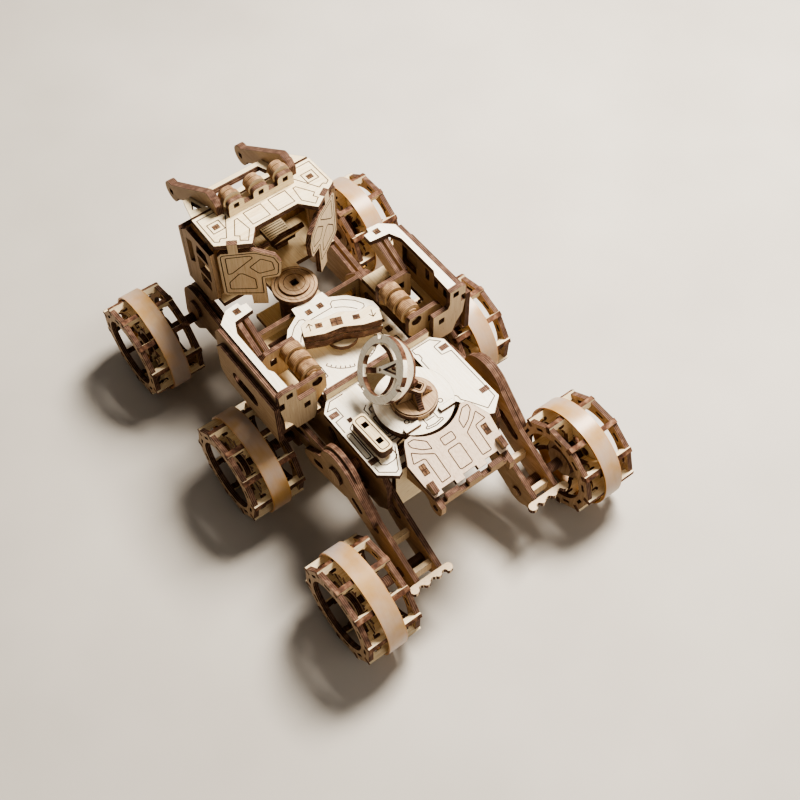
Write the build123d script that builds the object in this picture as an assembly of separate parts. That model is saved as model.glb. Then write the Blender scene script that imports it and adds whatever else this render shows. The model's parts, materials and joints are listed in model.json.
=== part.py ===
from build123d import *
import os
from math import acos, atan2, cos, degrees, hypot, pi, radians, sin, tan

os.makedirs("parts", exist_ok=True)

# A laser-cut plywood model of a six-wheeled rover, in millimetres.
# +X is forward, towards the cab, +Y is left and +Z is up. The wheels stand on z = 0.
# Lengths along X are measured from the middle axle and shifted by midAxleX when a piece is written.

# Sheet and fits
ply = 3.0
slotGap = 0.1
runGap = 0.06
bandSeat = 0.02
faceGap = 0.3

# Wheels
wheelBase = 105.6
halfTrack = 73.8
wheelWidth = 33.0
rungTipR = 30.0
rimR = 29.2
rimHoleR = 21.0
rimSlotR = 25.6
rungCount = 10
rungArchR = 8.6
rungLegHalf = 5.0
rungFootR = 11.0
webR = 22.0
webHoleR = 2.6
webHoleRing = 13.7
hubR = 9.0
hubCapR = 6.5
cageR = 14.0
cageY = 9.0
axleR = 3.0
axleEnd = 1.5
bandT = 1.2
bandW = 11.5
bandInnerR = hypot(rungTipR, ply / 2) + bandSeat
axleZ = bandInnerR + bandT

# Side frames, floor and walls of the hull
frameY = 36.5
frameRear = -80.0
frameFront = 60.0
floorZ = 42.0
floorFront = 74.0
floorStepX = -40.0
deckZ = 81.0
deckTabX = (-32.2, -67.0)
deckTab = 5.0
podFloorZ = 69.0
dialZ = 70.0
backWallX = -20.5
backWallTop = 86.0
backWallHalf = 34.0
tailWallX = -77.0
frontWallX = 46.5
dialWallY = 25.0
dialWallFront = 30.0
dialTabX = (18.5, 10.3, 2.7)
dialTab = 3.8

# Rocker and bogie arms
rockerOuterY = 47.5
rockerInnerY = 33.0
bogieOuterY = 44.5
bogieInnerY = 40.1
rockerX = -55.0
rockerZ = 66.5
rockerHeadR = 16.0
bogieX = wheelBase / 2
bogieZ = 46.0
frontHeadX = wheelBase - 8.6
frontHeadZ = 48.5
frontHeadR = 14.0
legR = 8.0
armEndX = -(wheelBase + 12.4)
coverY = rockerOuterY + ply + bandSeat
pinR = 3.0
gearX = -54.0
gearZ = 48.2
gearTipR = 14.5
gearRootR = 12.0
gearTeeth = 22
gearY = 42.2

# Side pods
podTopZ = 102.0
podWallY = 59.5
podWallTop = 101.0
podSkirtTop = 96.0
podRear = -18.5
podFront = 42.0
podWallBottom = 66.0
rollY = 33.0
rollZ = 87.0
rollR = 6.5
rollCoreR = 3.2
rollCount = 3
rollPitch = 7.6
rollRearX = -7.0

# Turret disc, antenna and tail
antennaX = -53.0
discR = 21.5
discTopZ = 87.0
drumR = 12.8
drumTopZ = 91.2
gussetTopZ = 98.6
gussetFoot = 10.4
gussetHead = 4.0
dishR = 17.9
dishHoleR = 13.7
dishX = -39.5
dishY = 10.0
dishZ = 108.0
dishDepth = 11.0
dishTilt = 55.7
dishAzimuth = 79.5
dishRoll = 48.0
dishFlare = 27.0
tailFrontX = -71.0
tailFrontZ = 90.5
tailSlope = 21.2
tailRearX = -102.1
tailNotchY = 14.2
tailNotch = (8.5, 2.3)
tailBarX = tailRearX - 1.7
tailBarTop = 77.5
earX = -102.4
earZ = 68.7
earY = 22.4
earR = 5.0
earHoleR = 2.0
earTab = 6.4
earTabAlong = 28.6

# Winding key and lever
keyX = 12.0
keyTurn = -21.0
keyLength = 44.0
keyWidth = 11.0
keyBottomZ = 76.0
keyPlies = 4
keyStemR = 6.0
leverX = -57.5
leverY = 30.0
leverLength = 26.0
leverWidth = 8.6

# Cab
cabTopZ = 122.4
roofCorner = (71.0, 39.0)
roofPoint = (60.2, 21.4)
cabWallY = 40.0
cabWallTop = 114.0
cabWallBottom = 65.0
cabFloorZ = 70.3
cabWallRear = 73.5
cabFrontX = 106.0
cabFrontTop = 108.0
screenHalf = 26.0
roofTabX = 81.9
roofTabY = 30.7
roofTab = 3.6
visorFrontX = 119.0
visorFrontZ = 111.5
visorRearX = 95.4
discX = 59.0
discTurnR = 13.3
neckR = 11.2
pillarR = 10.0
barX = 84.5
barHalf = 21.0
barTopZ = cabTopZ + 10.1
lampPitch = 15.8
lampZ = barTopZ - 3.5
lampR = 5.7
roofArmY = 23.8
roofArmT = 4.5
roofArmTipX = 144.5
roofArmTipZ = 94.5
roofArmTipR = 6.5
roofArmRootX = 96.0
roofArmRootZ = cabTopZ + 5.9
seatY = 10.5
panelTab = (6.7, 12.3)

nose = roofArmTipX + roofArmTipR
tail = wheelBase + axleZ
midAxleX = (tail - nose) / 2


def save(name, *solids):
    shape = Compound(children=[s.moved(Location((midAxleX, 0, 0))) for s in solids])
    export_step(shape, f"parts/{name}.step")


def outline(points):
    return make_face(Polyline(*points, close=True))


def mirrored(points):
    return points + [(a, -b) for a, b in reversed(points)]


def both(solid):
    return [solid, mirror(solid, about=Plane.XZ)]


def onPlane(plane, sketch, thick):
    return extrude(plane * sketch, amount=thick / 2, both=True).solid()


def sidePlate(sketch, y, thick=ply):
    return onPlane(Plane.XZ.offset(-y), sketch, thick)


def crossPlate(sketch, x, thick=ply):
    return onPlane(Plane.YZ.offset(x), sketch, thick)


def levelPlate(sketch, top, thick=ply):
    return onPlane(Plane.XY.offset(top - thick / 2), sketch, thick)


def rect(x0, y0, x1, y1):
    return Pos((x0 + x1) / 2, (y0 + y1) / 2) * Rectangle(abs(x1 - x0), abs(y1 - y0))


def slot(x, y, length, width):
    return Pos(x, y) * Rectangle(length + 2 * slotGap, width + 2 * slotGap)


def disc(x, y, r):
    return Pos(x, y) * Circle(r)


def link(a, ra, b, rb):
    # Two circles joined by their outer tangents.
    along = atan2(b[1] - a[1], b[0] - a[0])
    open_ = acos((ra - rb) / hypot(b[0] - a[0], b[1] - a[1]))
    ends = [(a, ra, 1), (b, rb, 1), (b, rb, -1), (a, ra, -1)]
    corners = [(p[0] + r * cos(along + s * open_), p[1] + r * sin(along + s * open_)) for p, r, s in ends]
    return outline(corners) + disc(*a, ra) + disc(*b, rb)


def rod(start, direction, r, length):
    return Solid.make_cylinder(r, length, Plane(origin=start, z_dir=direction))


def crossRod(x, z, y0, y1, r=pinR):
    return rod((x, y0, z), (0, 1, 0), r, y1 - y0)


# Wheel: two rims, a web with ten rungs, hub discs on an axle, and a rubber band

def wheelRims():
    rim = RegularPolygon(rimR, rungCount) - Circle(rimHoleR)
    for k in range(rungCount):
        turn = Rot(0, 0, 360 / rungCount * k)
        rim -= turn * rect(rimSlotR, -ply / 2, rungTipR, ply / 2)
        rim -= turn * Rot(0, 0, 180 / rungCount) * slot(24.3, 0, 1.4, 5)
    y = (wheelWidth - ply) / 2
    return [sidePlate(rim, y), sidePlate(rim, -y)]


def wheelSpider():
    # A rung lies in a radial plane: local X is the radius, local Y runs along the axle.
    half = wheelWidth / 2
    inner = half - ply
    rung = rect(rimSlotR, -half, rungTipR, half) + rect(webR - 3.5, -inner, rimSlotR, inner)
    rung += rect(rungFootR, -rungLegHalf, rimSlotR, rungLegHalf)
    for side in (1, -1):
        rung -= disc(webR - 3.5, side * inner, inner - rungLegHalf - 1.2)
        rung -= Pos(25.4, side * 8.8) * SlotOverall(4.6, 1.8, rotation=90)
    web = Circle(webR)
    for k in range(rungCount):
        web -= Rot(0, 0, 360 / rungCount * (k + 0.5)) * disc(webHoleRing, 0, webHoleR)
    spider = sidePlate(web - Circle(axleR), 0)
    for k in range(rungCount):
        piece = extrude(rung, amount=ply / 2, both=True)
        spider += Rot(0, -360 / rungCount * k, 0) * piece
    return spider.solid()


def wheelAxle(side, plateY):
    # The side is +1 for a left wheel, whose axle runs inboard, towards -Y, through the plate at plateY.
    inboard = halfTrack - plateY + ply / 2 + axleEnd
    shaft = crossRod(0, 0, -inboard, cageY, axleR)
    core = shaft
    table = [  # y of the disc's outboard face, radius
        (ply * 1.5, hubR),
        (ply * 2.5, hubCapR),
        (-ply * 0.5, hubR),
        (-cageY + ply, cageR - 1.5),
        (-cageY, hubR),
    ]
    for yTop, r in table:
        core += crossRod(0, 0, yTop - ply, yTop, r)
    if side < 0:
        core = mirror(core, about=Plane.XZ)
    return core


def wheelBand():
    ring = Circle(bandInnerR + bandT) - Circle(bandInnerR)
    return sidePlate(ring, 0, bandW)


# Wheels by name, axle place, side and the angle of the first rung above +X
wheelTable = [
    ("front_left", wheelBase, 1, 21.8),
    ("front_right", wheelBase, -1, 34.6),
    ("middle_left", 0.0, 1, 30.8),
    ("middle_right", 0.0, -1, 20.3),
    ("rear_left", -wheelBase, 1, 20.6),
    ("rear_right", -wheelBase, -1, 1.0),
]


def writeWheels():
    rims = wheelRims()
    spider = wheelSpider()
    band = wheelBand()
    for name, x, side, phase in wheelTable:
        place = Pos(x, side * halfTrack, axleZ) * Rot(0, -phase, 0)
        save(f"wheel_{name}_rims", *[place * r for r in rims])
        save(f"wheel_{name}_spider", place * spider)
        plateY = rockerInnerY if x < 0 else bogieInnerY
        save(f"wheel_{name}_axle", place * wheelAxle(side, plateY))
        save(f"wheel_{name}_band", place * band)


# Hull

def sideFrames():
    wall = outline([
        (frameRear, floorZ + 8), (frameRear + 8, floorZ), (frameFront, floorZ), (frameFront, floorZ + 12),
        (frontWallX + 3, podFloorZ - ply), (backWallX + 3, podFloorZ - ply), (backWallX - 3, deckZ - ply),
        (frameRear + 4, deckZ - ply), (frameRear, deckZ - ply - 8),
    ])
    wall -= Pos(-2, floorZ + 14) * SlotOverall(22, 9)
    wall -= Pos(30, floorZ + 14) * SlotOverall(20, 9)
    wall -= Pos(-33, floorZ + 20) * SlotOverall(14, 8, rotation=60)
    wall -= disc(rockerX, rockerZ, pinR) + disc(bogieX, bogieZ, pinR) + disc(gearX, gearZ, pinR)
    frame = sidePlate(wall, frameY)
    # Short cross ribs halved into the frame, whose tabs come up through the deck.
    rib = rect(frameY - deckTab / 2, deckZ - 2 * ply, frameY + deckTab / 2, deckZ)
    for x in deckTabX:
        frame += crossPlate(rib, x)
    return both(frame.solid())


def floorPlate():
    half = frameY - ply / 2
    narrow = rockerInnerY - ply / 2 - faceGap
    sketch = rect(tailWallX + ply / 2, -narrow, floorStepX, narrow)
    sketch += rect(floorStepX, -half, frameFront, half)
    sketch += rect(frameFront, -20, floorFront, 20)
    for x in (-58, -32, 4, 32):
        for side in (1, -1):
            sketch -= Pos(x, side * 17) * RectangleRounded(16, 20, 3)
    return levelPlate(sketch, floorZ + ply)


def crossWalls():
    half = frameY - ply / 2
    base = floorZ + ply
    back = rect(-half, base, half, deckZ - ply - 1) + rect(-backWallHalf, base, backWallHalf, backWallTop)
    back -= rect(-13, floorZ + 8, 13, floorZ + 20)
    narrow = rockerInnerY - ply / 2 - faceGap
    rear = rect(-narrow, floorZ, narrow, deckZ - ply) - rect(-13, floorZ + 10, 13, floorZ + 26)
    low = floorZ + 8
    high = floorZ + 18
    front = rect(-half, base, half, podFloorZ - ply) - rect(-32, low, -14, high) - rect(14, low, 32, high)
    mid = rect(-dialWallY + ply / 2, base, dialWallY - ply / 2, dialZ - ply) - rect(-12, low, 12, high)
    return [
        crossPlate(back, backWallX), crossPlate(rear, tailWallX),
        crossPlate(front, frontWallX), crossPlate(mid, dialWallFront - 8),
    ]


def dialWalls():
    wall = rect(backWallX + ply / 2, floorZ + ply, dialWallFront, dialZ - ply)
    for x in dialTabX:
        wall += rect(x - dialTab / 2, dialZ - ply, x + dialTab / 2, dialZ)
    wall -= Pos(4, floorZ + 14) * SlotOverall(22, 8)
    return both(sidePlate(wall, dialWallY))


def dialPlate():
    sketch = outline(mirrored([
        (backWallX + ply / 2, 29.8), (24.0, 29.8), (28.4, 26.9), (36.5, 20.4), (41.8, 11.2), (47.2, 10.6),
    ]))
    for side in (1, -1):
        sketch -= slot(39.5, side * 3.9, 3.4, 3.4)
        for x in dialTabX:
            sketch -= slot(x, side * dialWallY, dialTab, ply)
    sketch -= disc(keyX, 0, keyStemR + faceGap)
    return levelPlate(sketch, dialZ)


def deckPlates():
    # Outer edge, then the edge beside the turret disc, from the front to the rear.
    plates = []
    for side, inner in ((1, 13.5), (-1, 19.5)):
        points = [
            (backWallX - ply / 2, inner), (backWallX - ply / 2, 34.4), (-28.1, 40.1), (-74.8, 40.1),
            (-82.0, 31.2), (-80.6, 28.4), (-65.4, 20.7), (-63.5, inner),
        ]
        sketch = outline([(x, side * y) for x, y in points])
        for x in deckTabX:
            sketch -= slot(x, side * frameY, ply, deckTab)
        plates.append(levelPlate(sketch, deckZ))
    return plates


def tailPlane():
    slope = radians(tailSlope)
    return Plane(origin=(tailFrontX, 0, tailFrontZ), x_dir=(cos(slope), 0, sin(slope)),
                 z_dir=(-sin(slope), 0, cos(slope)))


def tailPlate():
    # Laid out flat, then tipped down to the rear about its front edge.
    run = (tailFrontX - tailRearX) / cos(radians(tailSlope))
    points = mirrored([(0, 15.5), (-0.5, 20.0), (-2.5, 21.6), (-12.5, 26.5), (-26.0, 25.2), (-run, 24.2)])
    sketch = outline(points)
    reach = discR + 1.6
    sketch -= disc(antennaX - tailFrontX, 0, reach + 1.2)
    wide, deep = tailNotch
    for y in (0, tailNotchY, -tailNotchY):
        sketch -= rect(-run - 1, y - wide / 2, -run + deep, y + wide / 2)
    for side in (1, -1):
        sketch -= slot(-18.4, side * 20.2, 5.8, 3.4)
        sketch -= slot(-earTabAlong, side * earY, earTab, ply)
    return extrude(tailPlane() * sketch, amount=-ply).solid()


def tailEars():
    def under(x):
        return tailFrontZ + (x - tailFrontX) * tan(radians(tailSlope)) - ply / cos(radians(tailSlope))

    rear = earX - earR
    front = tailWallX - ply / 2
    ear = outline([
        (front, under(front)), (rear + 4, under(rear + 4)), (rear, earZ + 5), (rear, earZ),
        (earX, earZ - earR), (earX + earR, earZ), (earX + 9, earZ + 2.3), (front, earZ - 2.7),
    ])
    ear += disc(earX, earZ, earR)
    ear -= disc(earX, earZ, earHoleR)
    tab = Pos(-earTabAlong, earY, 0) * Box(earTab, ply, 2 * ply + 2)
    # The bar between the ears stands just behind the tail plate, with a finger at each notch.
    inside = earY - ply / 2
    beam = rect(-inside, earZ + earHoleR + 0.8, inside, tailBarTop - ply)
    for y in (0, tailNotchY, -tailNotchY):
        beam += rect(y - tailNotch[0] / 2, tailBarTop - ply, y + tailNotch[0] / 2, tailBarTop)
    return both((sidePlate(ear, earY) + tailPlane() * tab).solid()) + [crossPlate(beam, tailBarX)]


def turretDisc():
    top = levelPlate(Circle(discR).moved(Location((antennaX, 0, 0))), discTopZ)
    rest = Solid.make_cylinder(discR - 0.8, discTopZ - ply - deckZ, Plane((antennaX, 0, deckZ)))
    body = top + rest
    for side in (1, -1):
        body += Pos(antennaX - 13.5, side * 11.3, discTopZ + ply / 2 - 0.5) * Box(ply, 9.4, ply - 1)
    return body.solid()


# Suspension, which is fixed: outer and inner rockers, bogies, spacers, pins and yokes

def rockers():
    rearX = -wheelBase
    head = (rockerX, rockerZ)
    foot = [(rearX + 18.6, axleZ + 24.2), (armEndX, axleZ + 7.2), (armEndX, axleZ - 5.8),
            (rearX + 5.6, axleZ - 7.3), (rearX + 22.6, axleZ + 1.7)]
    window = Pos(rearX + 27.6, axleZ + 19.7) * SlotOverall(20, 6, rotation=32)
    boss = disc(rearX, axleZ, 9.5)
    outer = disc(*head, rockerHeadR) + boss
    outer += outline([(rockerX - 8, rockerZ + 13), *foot, (rockerX + 4, rockerZ - 15)])
    outer += link((rockerX + 8, rockerZ - 8), 9, (bogieX, bogieZ), legR)
    outer -= window
    outer -= Pos(-16, bogieZ + 11.2) * SlotOverall(18, 5, rotation=-9)
    outer -= Pos(18, bogieZ + 5.6) * SlotOverall(18, 5, rotation=-9)
    inner = disc(*head, rockerHeadR - 5) + boss
    inner += outline([(rockerX - 5, rockerZ + 9.8), *foot, (rockerX + 4, rockerZ - 10)]) - window
    pins = disc(*head, pinR) + disc(rearX, axleZ, axleR + runGap) + disc(gearX, gearZ, pinR)
    return (both(sidePlate(outer - pins - disc(bogieX, bogieZ, pinR), rockerOuterY))
            + both(sidePlate(inner - pins, rockerInnerY)))


def rockerCovers():
    # The outermost layer, a short curved plate over the rocker's head.
    cover = disc(rockerX, rockerZ, rockerHeadR - 1.5)
    cover += link((rockerX + 3, rockerZ - 5), 10.5, (rockerX + 26, rockerZ - 16), 5.5)
    cover += link((rockerX - 3, rockerZ + 2), 11.5, (rockerX - 25, rockerZ - 12), 6.0)
    cover -= disc(rockerX, rockerZ, pinR)
    cover -= Pos(rockerX + 18, rockerZ - 12.5) * SlotOverall(9, 4, rotation=-26)
    cover -= Pos(rockerX - 17.5, rockerZ - 8) * SlotOverall(10, 3.6, rotation=32)
    return both(sidePlate(cover, coverY))


def bogies():
    plates = []
    sketch = link((0, axleZ), legR, (bogieX, bogieZ), legR + 1)
    sketch += link((bogieX, bogieZ), legR + 1, (frontHeadX, frontHeadZ), frontHeadR)
    sketch += link((frontHeadX, frontHeadZ), frontHeadR, (wheelBase, axleZ), legR)
    sketch -= disc(0, axleZ, axleR + runGap) + disc(wheelBase, axleZ, axleR + runGap)
    sketch -= disc(bogieX, bogieZ, pinR) + disc(frontHeadX, frontHeadZ, pinR)
    sketch -= Pos(25, bogieZ - 8) * SlotOverall(18, 5, rotation=16)
    for y in (bogieOuterY, bogieInnerY):
        plates += both(sidePlate(sketch, y, ply if y == bogieOuterY else ply - 0.4))
    return plates


def armLinks():
    # Spacers between the two rocker plates: place along X and height.
    table = [(armEndX + 6, axleZ + 2.7), (12.6 - wheelBase, axleZ + 9.2)]
    y0 = rockerInnerY + ply / 2
    y1 = rockerOuterY - ply / 2
    blocks = []
    for x, z in table:
        blocks += both(Pos(x, (y0 + y1) / 2, z) * Box(ply, y1 - y0, 7))
    return blocks


def pivotPins():
    pins = []
    yEnd = rockerOuterY + ply / 2 + 2
    coverEnd = coverY + ply / 2 + 2
    pins += both(crossRod(rockerX, rockerZ, rockerInnerY - ply, coverEnd)
                 + crossRod(rockerX, rockerZ, coverY + ply / 2, coverEnd, 5.5))
    pins += both(crossRod(bogieX, bogieZ, frameY - ply / 2, yEnd)
                 + crossRod(bogieX, bogieZ, rockerOuterY + ply / 2, yEnd, 5.5))
    pins += both(crossRod(frontHeadX, frontHeadZ, bogieInnerY - ply, bogieOuterY + ply / 2 + 2)
                 + crossRod(frontHeadX, frontHeadZ, bogieOuterY + ply / 2, bogieOuterY + ply / 2 + 2, 5.5))
    return pins


def rearYokes():
    # A flat scalloped strip laid across the rear ends of the two rocker plates.
    middle = (rockerInnerY + rockerOuterY) / 2
    strip = rect(armEndX - 3.4, middle - 10.5, armEndX, middle + 10.5)
    for y, r in ((-11.0, 2.6), (-4.6, 1.9), (3.2, 2.2), (11.0, 2.6)):
        strip += disc(armEndX - 2.7, middle + y, r)
    for y in (-7.8, -0.6, 7.2):
        strip -= disc(armEndX - 4.3, middle + y, 1.6)
    strip -= rect(armEndX, 0, armEndX + ply, 2 * middle)
    return both(levelPlate(strip, axleZ + 6.4))


def driveGears():
    # Trapezoid teeth round a disc with a shaft across the hull.
    gear = Circle(gearRootR)
    pitch = 2 * pi / gearTeeth
    for k in range(gearTeeth):
        a = k * pitch
        root = pitch * 0.27
        tip = pitch * 0.15
        gear += outline([
            ((gearRootR - 0.6) * cos(a - root), (gearRootR - 0.6) * sin(a - root)),
            (gearTipR * cos(a - tip), gearTipR * sin(a - tip)),
            (gearTipR * cos(a + tip), gearTipR * sin(a + tip)),
            ((gearRootR - 0.6) * cos(a + root), (gearRootR - 0.6) * sin(a + root)),
        ])
    for k in range(5):
        gear -= Rot(0, 0, 72 * k) * disc(7.4, 0, 2.2)
    half = frameY + ply / 2
    wheel = sidePlate(Pos(gearX, gearZ) * gear, gearY)
    shaft = crossRod(gearX, gearZ, -gearY - ply / 2, gearY + ply / 2)
    spacer = crossRod(gearX, gearZ, half, gearY - ply / 2, 5)
    shaft += wheel + mirror(wheel, about=Plane.XZ)
    return [(shaft + spacer + mirror(spacer, about=Plane.XZ)).solid()]


# Side pods

def podTops():
    sketch = outline([
        (46.5, 43.0), (43.8, 42.4), (43.4, 39.0), (37.4, 39.0), (36.0, 51.0), (29.0, 54.2), (-0.3, 54.2),
        (-3.4, 52.4), (podRear + ply / 2, 52.0), (podRear + ply / 2, 58.0), (39.3, 58.0), (45.8, 50.8),
    ])
    sketch -= slot(41.5, 46.4, 3.6, 3.6)
    return both(levelPlate(sketch, podTopZ))


def podWalls():
    wall = outline([
        (podRear + ply / 2, podFloorZ), (podFront - 6, podFloorZ), (podFront, podFloorZ + 8),
        (podFront, podWallTop - 5), (podFront - 4, podWallTop), (podRear + ply / 2, podWallTop),
    ])
    for x in (-6, 2, 10):
        wall -= rect(x - 1.6, podWallTop - 19, x + 1.6, podWallTop - 11)
    wall -= rect(20, podWallTop - 25, 33, podWallTop - 11)
    skirt = outline([
        (podRear - ply / 2, podWallBottom), (30, podWallBottom), (36, podWallBottom + 6),
        (36, podSkirtTop - 4), (32, podSkirtTop), (podRear - ply / 2, podSkirtTop),
    ])
    skirt -= Pos(10, podSkirtTop - 15) * SlotOverall(24, 9)
    return both(sidePlate(wall, podWallY)) + both(sidePlate(skirt, podWallY + ply + faceGap))


def podFloors():
    sketch = rect(podRear + ply / 2, frameY - ply / 2, podFront, podWallY + ply / 2)
    sketch -= Pos(20, 49) * RectangleRounded(26, 10, 2)
    return both(levelPlate(sketch, podFloorZ))


def podEnds():
    top = podTopZ
    half = outline([
        (50.0, top + 3.0), (58.0, top + 3.5), (61.0, top + 2.0), (60.8, top - 4.5), (58.0, top - 4.5),
        (58.0, top - 9.5), (61.0, top - 9.5), (59.5, top - 20.0), (55.0, podFloorZ + 7), (52.5, podFloorZ),
        (41.0, podFloorZ), (38.8, podFloorZ + 7), (38.8, top - 10), (48.8, top - 10), (50.0, top - 7),
    ])
    half -= slot(54.2, top - 1.1, 3.4, 3.4) + slot(44.6, top - 17.1, 3.4, 3.8)
    return both(crossPlate(half, podRear))


def podRolls():
    stacks = []
    for side in (1, -1):
        y = side * rollY
        core = rod((rollRearX - 3, y, rollZ), (1, 0, 0), rollCoreR, rollPitch * rollCount + 3.5)
        for k in range(rollCount):
            x = rollRearX + rollPitch * k
            core += rod((x, y, rollZ), (1, 0, 0), rollR, rollPitch - 2.2)
            core += rod((x - 1.2, y, rollZ), (1, 0, 0), rollR - 2.2, rollPitch)
        stacks.append(core)
    return stacks


def podBrackets():
    # End plates that hold the rolls, each standing on the pod floor.
    plates = []
    top = rollZ + 4
    for x in (rollRearX - 4.2, rollRearX + rollPitch * rollCount + 0.4):
        half = outline([
            (rollY + 2.0, podFloorZ), (rollY + 17.0, podFloorZ), (rollY + 17.0, rollZ + 1),
            (rollY + 14.0, top), (rollY - 4.5, top), (rollY - 5.5, top - 2), (rollY - 5.5, rollZ - 9),
        ])
        half -= disc(rollY, rollZ, rollCoreR)
        half -= rect(rollY + 8, rollZ - 7, rollY + 12, rollZ - 2)
        plates += both(crossPlate(half, x))
    return plates


def podStruts():
    front = rollRearX + rollPitch * rollCount + 0.4 + ply / 2
    high = podTopZ - ply
    strut = outline([(front, rollZ - 7), (front, rollZ + 3), (36.0, high), (43.0, high), (43.0, high - 7)])
    plates = []
    for y in (44.0, 48.6):
        plates += both(sidePlate(strut, y))
    return plates


# Winding key

def windingKey():
    turn = Pos(keyX, 0, 0) * Rot(0, 0, keyTurn)
    foot = floorZ + ply + faceGap
    key = Solid.make_cylinder(keyStemR, keyBottomZ - foot, Plane((keyX, 0, foot)))
    key += levelPlate(disc(keyX, 0, 9), keyBottomZ)
    for k in range(keyPlies):
        inset = 0.0 if k % 2 else 0.4
        half = keyLength / 2 - inset
        wide = keyWidth / 2 - inset
        points = [
            (-wide, -half), (wide - 3, -half), (wide, -half + 4), (wide - 1.6, -half * 0.45),
            (wide + 0.6, 0), (wide - 1.6, half * 0.45), (wide, half - 4), (wide - 3, half), (-wide, half),
            (-wide - 0.8, half * 0.5), (-wide + 1.0, 0), (-wide - 0.8, -half * 0.5),
        ]
        key += levelPlate(turn * outline(points), keyBottomZ + ply * (k + 1))
    return [key.solid()]


def lever():
    turn = Pos(leverX, leverY, 0) * Rot(0, 0, 2)
    knob = RectangleRounded(leverLength, leverWidth, 2.8)
    low = levelPlate(turn * RectangleRounded(leverLength - 5, leverWidth - 2.6, 2), deckZ + ply)
    top = levelPlate(turn * (knob - slot(6, 0, 3, 3) - slot(-6, 0, 3, 3)), deckZ + 3 * ply, 2 * ply)
    return [(low + top).solid()]


# Antenna

def antennaDrum():
    # A disc with two crossed gussets that carry a small slotted head plate.
    turn = Pos(antennaX, 0, 0)
    foot = discTopZ + faceGap
    drum = levelPlate(turn * Circle(drumR), drumTopZ - 0.8, drumTopZ - 0.8 - foot)
    drum += levelPlate(turn * Circle(drumR - 0.8), drumTopZ, 0.8)
    gusset = outline([
        (-gussetFoot, drumTopZ), (gussetFoot, drumTopZ),
        (gussetHead, gussetTopZ), (-gussetHead, gussetTopZ),
    ])
    for a in (78.0, 168.0):
        drum += turn * Rot(0, 0, a) * sidePlate(gusset, 0)
    head = Rot(0, 0, 30) * (RectangleRounded(13, 7.6, 2.2) - slot(-2.6, 0, 3, 3))
    drum += levelPlate(turn * head, gussetTopZ + ply)
    return drum.solid()


def dishFrame():
    # Local X points to the flared side of the dish, Y along the line that joins its two poles.
    tilt = radians(dishTilt)
    turn = radians(dishAzimuth)
    normal = (sin(tilt) * cos(turn), sin(tilt) * sin(turn), cos(tilt))
    flat = Plane(origin=(dishX, dishY, dishZ), x_dir=(-sin(turn), cos(turn), 0), z_dir=normal)
    place = flat.location * Rot(0, 0, dishRoll)
    ring = Circle(dishR) - Circle(dishHoleR)
    for a in (90, 215, 325):
        ring -= Rot(0, 0, a) * rect(dishR - 2.2, -1.5, dishR + 1, 1.5)
    # Feed arm: a flat triangular frame from the rim to the middle.
    arm = outline([(dishHoleR + 0.6, 5.2), (dishHoleR + 0.6, -5.2), (-0.6, -1.5), (-0.6, 1.5)])
    arm -= outline([(dishHoleR - 1.4, 3.0), (dishHoleR - 1.4, -3.0), (2.4, 0)])
    arm += Circle(1.9)
    ring += arm - Circle(0.8)
    frame = extrude(ring, amount=ply / 2, both=True)
    flare = Circle(dishR) - Circle(dishHoleR + 0.6) - rect(-2 * dishR, -2 * dishR, 0, 2 * dishR)
    frame += Rot(0, dishFlare, 0) * extrude(flare, amount=ply / 2, both=True)
    half = dishR - 1.5
    bowR = (half ** 2 + dishDepth ** 2) / (2 * dishDepth)
    bow = disc(0, bowR - dishDepth, bowR) - disc(0, bowR - dishDepth, bowR - 3.4)
    bow -= rect(-2 * dishR, 0, 2 * dishR, 4 * dishR)
    for a in (0, 90):
        frame += Rot(0, 0, a) * Rot(90, 0, 0) * extrude(bow, amount=ply / 2, both=True)
    frame = (place * frame).solid()
    back = (place * Pos(0, 0, ply / 2 - dishDepth)).position
    start = Vector(antennaX, 0, back.Z)
    along = back - start
    middle = (back + start) / 2
    low = gussetTopZ + ply
    high = back.Z + 2.5
    bracket = Rot(0, 0, degrees(atan2(along.Y, along.X))) * Box(along.length + 3, ply, high - low)
    frame += Pos(middle.X, middle.Y, (high + low) / 2) * bracket
    return frame.solid()


# Cab

def cabFloor():
    half = cabWallY - ply / 2
    rear = cabWallRear + 0.5
    sketch = rect(rear, -half, cabFrontX - ply / 2, half)
    sketch += disc(discX, 0, neckR) + rect(discX, -neckR, rear, neckR)
    return [levelPlate(sketch, cabFloorZ)]


def turntable():
    stack = Solid.make_cylinder(discTurnR, ply, Plane((discX, 0, cabFloorZ)))
    stack += Solid.make_cylinder(9.0, 1.5, Plane((discX, 0, cabFloorZ + ply)))
    stack -= Pos(discX, 0, cabFloorZ + ply) * Box(4, 4, 6)
    pillar = Solid.make_cylinder(pillarR, cabFloorZ - ply - floorZ - ply, Plane((discX, 0, floorZ + ply)))
    pillar += Solid.make_cylinder(pillarR + 0.8, ply, Plane((discX, 0, cabFloorZ - 2 * ply)))
    return [stack, pillar]


def cabRoof():
    sketch = outline(mirrored([(94.0, 38.6), roofCorner, roofPoint, (69.1, 13.9)]))
    for side in (1, -1):
        sketch -= slot(roofTabX, side * roofTabY, ply, roofTab)
    roof = levelPlate(sketch, cabTopZ)
    for side in (1, -1):
        plane = panelPlane(side)
        sign = 1 if plane.y_dir.Z > 0 else -1
        low = sign * (cabTopZ - 2 * ply)
        notch = rect(panelTab[0] - slotGap, low, panelTab[1] + slotGap, sign * (cabTopZ + ply))
        roof -= extrude(plane * notch, amount=-ply - slotGap)
        roof -= extrude(plane * notch, amount=1)
    return [roof.solid()]


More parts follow.
